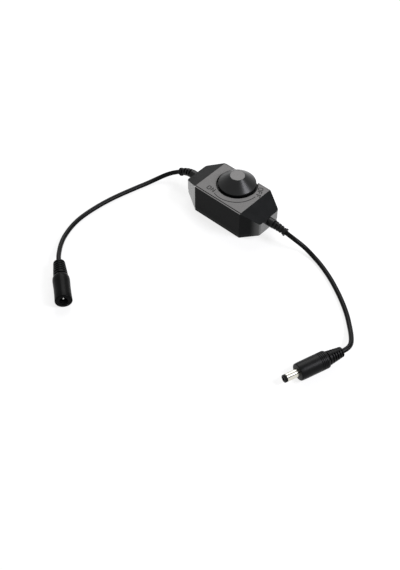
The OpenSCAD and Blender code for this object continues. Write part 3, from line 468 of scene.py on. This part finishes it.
def turned(profile, at, along, slots=(), web=0.9, core=2.4, sides=96):
    """Surface turned about a level axis that runs back from a connector's front face. The profile is a
    closed loop of (s, r) points. The point for a profile point and an angle a is
    at - s * along + r * (cos a * side + sin a * up). In a slot (s from, s to, side), on the side where
    side * cos a is above 0, the radius is cut to the larger of the core and web / |cos a|, which
    leaves a round core and a flat upright web."""
    up = np.array([0, 0, 1.0])
    side = np.cross(along, up)
    profile = np.asarray(profile, float)
    a = np.linspace(0, 2 * np.pi, sides, endpoint=False) + 1e-3
    s = np.repeat(profile[:, :1], sides, axis=1)
    r = np.repeat(profile[:, 1:], sides, axis=1)
    for start, stop, hand in slots:
        cut = (s > start) & (s < stop) & (hand * np.cos(a)[None] > 0)
        r = np.where(cut, np.minimum(r, np.maximum(core, web / np.abs(np.cos(a))[None])), r)
    points = (at - s[..., None] * along
              + r[..., None] * (np.cos(a)[None, :, None] * side + np.sin(a)[None, :, None] * up))
    return points.reshape(-1, 3), grid_faces(len(profile), sides, loop=True)


def corner(s, r, size, quarter, steps=5):
    """Quarter circle of a profile about (s, r). Its angle runs from quarter * 90 degrees, where 0 is
    towards the front face, by a quarter turn."""
    t = np.radians(90) * (quarter + np.linspace(0, 1, steps))
    return list(zip(s - size * np.cos(t), r + size * np.sin(t)))


def groove(s, r, width, depth):
    """Profile points of a round-bottomed groove that starts at s on a surface of radius r."""
    t = np.linspace(0, np.pi, 7)
    return list(zip(s + width * (1 - np.cos(t)) / 2, r - depth * np.sin(t)))


def beads(name, strokes, material, section):
    """Raised strokes. Each is a list of plan points with a base height; the section's points
    (across, up) stand across the stroke at each of them, stretched at a corner so that the width
    holds, and a stroke that isn't closed gets a flat cap at each end."""
    points, faces = [], []
    section = np.asarray(section, float)
    n = len(section)
    for plan, base, closed in strokes:
        p = np.asarray(plan, float)
        if closed:
            ahead, behind = np.roll(p, -1, 0) - p, p - np.roll(p, 1, 0)
        else:
            step = np.diff(p, axis=0)
            ahead, behind = np.vstack([step, step[-1:]]), np.vstack([step[:1], step])
        ahead = ahead / np.linalg.norm(ahead, axis=1)[:, None]
        behind = behind / np.linalg.norm(behind, axis=1)[:, None]
        middle = ahead + behind
        middle /= np.linalg.norm(middle, axis=1)[:, None]
        reach = 1 / np.clip((middle * ahead).sum(axis=1), 0.35, 1)
        across = np.stack([-middle[:, 1], middle[:, 0]], axis=1) * reach[:, None]
        rings = np.concatenate([
            p[:, None] + section[None, :, :1] * across[:, None],
            np.broadcast_to(base + section[None, :, 1:], (len(p), n, 1))], axis=2)
        start = sum(len(block) for block in points)
        m = len(p)
        points.append(rings.reshape(-1, 3))
        faces += grid_faces(m, n, start, loop=closed)
        if not closed:
            faces += [list(range(start, start + n))[::-1], list(range(start + (m - 1) * n, start + m * n))]
    return mesh_object(name, np.concatenate(points), faces, material)


def letter_strokes(letter, centre, heading, height=3.4, width=2.4):
    """Centre lines of one letter, turned to the heading and moved to its centre. The O is a rounded
    rectangle, the N one line with two corners, and the F a corner and an arm."""
    w, h = width / 2, height / 2
    if letter == "O":
        a = np.linspace(0, 2 * np.pi, 32, endpoint=False) + 0.01
        bend = 0.75
        shapes = [(np.stack([np.sign(np.cos(a)) * (w - bend) + bend * np.cos(a),
                             np.sign(np.sin(a)) * (h - bend) + bend * np.sin(a)], axis=1), True)]
    elif letter == "N":
        shapes = [(np.array([[-w, -h], [-w, h], [w, -h], [w, h]]), False)]
    else:
        shapes = [(np.array([[-w, -h], [-w, h], [w, h]]), False),
                  (np.array([[-w, 0.1], [w * 0.7, 0.1]]), False)]
    c, s = math.cos(math.radians(heading)), math.sin(math.radians(heading))
    spin = np.array([[c, s], [-s, c]])
    return [(plan @ spin + np.asarray(centre, float), PAD_TOP - 0.05 - 0.01 * i, closed)
            for i, (plan, closed) in enumerate(shapes)]


def free_cord(name, route, node, material):
    """One round cord through its route."""
    path = smooth_path(route, 1.0)
    points, faces = swept(path, CORD_R)
    made = mesh_object(name, points, faces, material)
    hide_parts(node)
    return made


# Finishes
black = housing_finish()
cover_black = cover_finish()
polished_black = moulded_finish("polished_moulding", grey(0.006), grey(0.01), 0.3, 3.0, 0.1)
knob_black = knob_finish()
cord_black = rubber_finish("cord_sheath", 0.002, 0.2, 0.08)
relief_black = rubber_finish("relief_pvc", 0.005, 0.24, 0.15)
grip_black = rubber_finish("connector_pvc", 0.003, 0.28)
# Painted shade: the jack gets a darker copy of the connectors' PVC, standing in for the light it lacks
jack_black_painted_shade = rubber_finish("jack_pvc_painted_shade", 0.0015, 0.24, 0.05)
insert_black = moulded_finish("insert_moulding", grey(0.002), grey(0.004), 0.3, 1.5, 0.08)
nickel = barrel_finish()
pin_nickel = metal_finish("pin_nickel", (0.85, 0.85, 0.82, 1.0), 0.16)
brass = metal_finish("sprung_brass", (0.78, 0.6, 0.3, 1.0), 0.28)
steel = metal_finish("plated_steel", (0.6, 0.6, 0.6, 1.0), 0.3)
dark_steel = metal_finish("blackened_steel", (0.16, 0.16, 0.16, 1.0), 0.34)
zinc = metal_finish("cast_zinc", (0.64, 0.64, 0.62, 1.0), 0.38)
acetal = moulded_finish("natural_acetal", (0.78, 0.75, 0.66, 1.0), (0.72, 0.69, 0.6, 1.0), 0.4)
phenolic = moulded_finish("phenolic_paper", (0.36, 0.18, 0.07, 1.0), (0.28, 0.13, 0.05, 1.0), 0.45)
carbon = moulded_finish("carbon_ink", grey(0.02), grey(0.035), 0.5)
solder_mask = moulded_finish("solder_mask", (0.02, 0.17, 0.07, 1.0), (0.03, 0.22, 0.09, 1.0), 0.3, 4.0)
epoxy = moulded_finish("moulded_epoxy", grey(0.02), grey(0.03), 0.5)
sleeve = moulded_finish("shrunk_sleeve", (0.02, 0.03, 0.12, 1.0), (0.03, 0.04, 0.16, 1.0), 0.25, 5.0)
lacquer = moulded_finish("resistor_lacquer", (0.62, 0.5, 0.3, 1.0), (0.55, 0.43, 0.26, 1.0), 0.35)
red_wire = moulded_finish("wire_insulation", (0.45, 0.03, 0.03, 1.0), (0.38, 0.02, 0.02, 1.0), 0.35, 3.0)
white_label = label_finish()

# Connectors. A profile of (s, r) points runs from the bore's front edge out and back to the cord, and
# returns inside. s is counted back from the front face.
RELIEF_FROM, RELIEF_TO = 24.4, 34.2
rib_starts, pitch = np.linspace(RELIEF_FROM, RELIEF_TO, 5, endpoint=False, retstep=True)
# Along the plug's relief each pitch has a slot on one side and, half a pitch on, one on the other
slots = [(start + shift * pitch, start + (shift + 0.5) * pitch, hand)
         for start in rib_starts for shift, hand in ((0.06, 1), (0.5, -1))]
# A pair of profile points stands 0.02 mm apart at each end of a slot, so that its walls are upright
ends = np.array([end for start, stop, _ in slots for end in (start, stop)])
edges = np.sort(np.concatenate([ends - 0.01, ends + 0.01]))
outline = [(0.0, 2.9)] + corner(0.6, 5.5, 0.6, 0)
outline += [(3.0, 6.25)] + sum([groove(s, 6.28, 0.6, 0.35) for s in (16.2, 17.5, 18.8, 20.1)], [])
outline += corner(21.5, 4.9, 1.35, 1) + [(22.9, 3.7), (23.6, 3.7), (23.65, 4.9), (23.9, 5.05)]
outline += [(s, 5.05 - (s - 24.0) * 0.13) for s in edges]
outline += [(34.25, 3.7)] + corner(34.4, 3.1, 0.6, 1)
outline += [(PLUG_L, CORD_HOLE_R), (30.0, CORD_HOLE_R), (8.0, CORD_HOLE_R), (8.0, 2.9)]
points, faces = turned(outline, PLUG_AT, PLUG_ALONG, slots)
plug_grip = mesh_object("plug_grip", points, faces, grip_black)
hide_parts("plug_housing")
dressed("plug_barrel", "plug_sleeve", nickel, 0.08)
dressed("plug_tip_ring", "plug_tip", insert_black, 0.08)

outline = [(0.0, 3.8)] + corner(0.7, 5.6, 0.7, 0)
outline += [(6.0, 6.1), (12.0, 6.05), (17.0, 6.2), (19.5, 6.25), (21.5, 6.05), (23.0, 5.5), (23.6, 4.9),
            (23.8, 4.5), (24.2, 4.5), (24.35, 5.25)]
outline += sum([groove(s, 5.3 - (s - 24.0) * 0.085, 0.9, 0.75) for s in (26.0, 28.1, 30.2, 32.3, 34.4)], [])
outline += corner(36.4, 3.3, 1.0, 1)
outline += [(JACK_L, CORD_HOLE_R), (30.0, CORD_HOLE_R), (11.0, CORD_HOLE_R), (11.0, 3.8)]
points, faces = turned(outline, JACK_AT, JACK_ALONG)
jack_grip = mesh_object("jack_grip", points, faces, jack_black_painted_shade)
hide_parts("jack_housing")
dressed("jack_insert", "jack_core", insert_black, 0.2)
dressed("jack_centre_pin", "jack_pin", pin_nickel)

free_cord("jack_lead", INPUT_ROUTE, "input_cord", cord_black)
free_cord("plug_lead", OUTPUT_ROUTE, "output_cord", cord_black)

# Housing, knob and what shows of them
dressed("top_housing", "upper_moulding", black, 0.3, 3, sharp=20.0)
dressed("bottom_cover", "lower_moulding", cover_black, 0.2, 2, sharp=20.0)
dressed("knob", "turning_knob", knob_black, 0.2, 3, body="knob", sharp=35.0)
dressed("input_strain_relief", "jack_side_relief", relief_black, 0.15)
dressed("output_strain_relief", "plug_side_relief", relief_black, 0.15)
dressed("cover_screws", "cover_screw_pair", dark_steel, 0.08)

# Raised letters: each letter's centre and heading
LETTER_SECTION = [(-0.3, 0), (0.3, 0), (0.2, 0.27), (-0.2, 0.27)]
LETTERS = {"on_mark": [("O", (-13.2, -11.3), 0), ("N", (-9.3, -11.3), 0)],
           "off_mark": [("O", (16.5, 13.0), -58), ("F", (18.1, 9.5), -64), ("F", (19.6, 6.0), -70)]}
for mark, letters in LETTERS.items():
    strokes = sum([letter_strokes(*each) for each in letters], [])
    beads(mark, strokes, polished_black, LETTER_SECTION)

# Solids that are shown as they are, with their materials
KEPT = {
    "label": white_label, "pot_shaft": steel, "pot_rotor": acetal, "pot_wiper": brass,
    "pot_bushing": zinc, "pot_nut": zinc, "pot_washer": steel, "pot_wafer": phenolic,
    "pot_track": carbon, "pot_terminals": brass, "pot_case": steel, "pot_leads": red_wire,
    "circuit_board": solder_mask, "board_screws": steel, "power_transistor": epoxy,
    "transistor_tab": zinc, "timer_chip": epoxy, "smoothing_capacitor": sleeve,
    "resistors": lacquer, "diode": epoxy, "input_leads": red_wire, "output_leads": red_wire,
    "jack_spring": brass, "plug_centre_contact": brass,
}
for node, material in KEPT.items():
    data = NODES[node].data
    data.materials.clear()
    data.materials.append(material)


# Table, backdrop and light
def floor_finish():
    """Pale table, lifted to white where it is seen, and more where the lamps no longer reach it. The
    object's shadow stays."""
    r = Recipe("pale_table")
    x, y, z = r.place()
    far = ((x ** 2 + y ** 2) ** 0.5).eased(300, 1500)
    matte = r.node("BsdfDiffuse", None, {"Color": grey(0.28)})
    strength = r.backdrop_seen() * (0.8 + far * 0.2)
    lift = r.node("Emission", None, {"Color": grey(1.0), "Strength": strength})
    return r.finish(r.node("AddShader", None, [matte, lift]))


def studio():
    """Plain room, white where it is seen, that lights everything else weakly."""
    r = Recipe("studio", bpy.data.worlds)
    strength = 0.2 + r.backdrop_seen() * 0.8
    return r.finish(r.node("Background", None, {"Color": grey(1.0), "Strength": strength}), "OutputWorld")


bpy.context.scene.world = studio()
# One square, a hair below the underside so that the two don't share a plane
reach, drop = 4000, -0.02
table_corners = [(-reach, -reach, drop), (reach, -reach, drop), (reach, reach, drop), (-reach, reach, drop)]
table = mesh_object("table", table_corners, [(0, 1, 2, 3)], floor_finish(), body=None)


def softbox(name, toward, width, height, power, colour=(1.0, 1.0, 1.0)):
    """Area lamp a metre from the housing, in a direction, facing the housing."""
    lamp = bpy.data.lights.new(name, "AREA")
    lamp.shape = "RECTANGLE"
    lamp.size, lamp.size_y = width, height
    lamp.energy = power
    lamp.color = colour
    made = bpy.data.objects.new(name, lamp)
    bpy.context.scene.collection.objects.link(made)
    direction = Vector(toward).normalized()
    made.location = direction
    made.rotation_mode = "QUATERNION"
    made.rotation_quaternion = (-direction).to_track_quat("-Z", "Y")


softbox("overhead_box", (-0.44, 0.49, 0.75), 0.7, 0.7, 6.5)
softbox("side_box", (0.69, 0.22, 0.68), 0.34, 0.34, 7.0, (0.94, 0.94, 1.0))

bpy.context.scene.view_settings.view_transform = "Standard"
